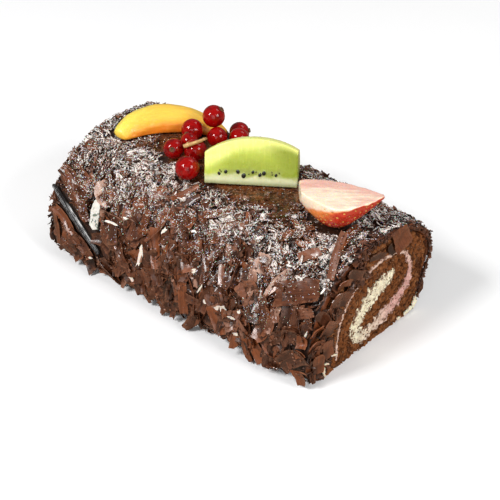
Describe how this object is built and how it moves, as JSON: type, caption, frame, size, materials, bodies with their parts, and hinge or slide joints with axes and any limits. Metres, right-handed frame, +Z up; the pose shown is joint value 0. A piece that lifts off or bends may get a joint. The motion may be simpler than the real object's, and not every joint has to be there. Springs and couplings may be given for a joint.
{
  "type": "swiss roll",
  "caption": "Chocolate swiss roll with a spiral of cream at its cut ends, a rough coat of chocolate shavings, and fresh fruit and a dried vanilla pod laid along its top.",
  "frame": {"origin": "centre of the flat base, under the middle of the roll's length", "axes": "+X along the roll towards the cut end that the picture shows, -Y the front with the pod and the larger shavings, +Z up"},
  "size_m": [0.1716, 0.1029, 0.0823],
  "materials": {
    "sponge": "open cocoa crumb, dry and matte",
    "cream": "soft ivory cream with brown specks, dusty pink on its second turn",
    "chocolate": "dark shaved chocolate, semi-matte, dusted with sugar and glazed on top",
    "peach": "wet yellow and orange fruit flesh",
    "kiwi": "wet yellow-green fruit flesh with dark seeds",
    "strawberry": "pale pink cut flesh and an orange-red skin",
    "redcurrant": "clear bright red skin, glossy",
    "stem": "pale green-yellow stalk",
    "vanilla": "dried black-grey pod with a soft shine",
    "white_chocolate": "pale chocolate with grey-green marbling"
  },
  "bodies": {
    "root": {"sponge": "sponge", "cream_filling": "cream", "chocolate_coat": "chocolate", "peach_slice": "peach", "kiwi_wedge": "kiwi", "strawberry_half": "strawberry", "redcurrant_01": "redcurrant", "redcurrant_02": "redcurrant", "redcurrant_03": "redcurrant", "redcurrant_04": "redcurrant", "redcurrant_05": "redcurrant", "redcurrant_06": "redcurrant", "redcurrant_07": "redcurrant", "redcurrant_08": "redcurrant", "redcurrant_09": "redcurrant", "redcurrant_10": "redcurrant", "currant_stem": "stem", "vanilla_pod": "vanilla", "white_shard": "white_chocolate"}
  },
  "joints": []
}
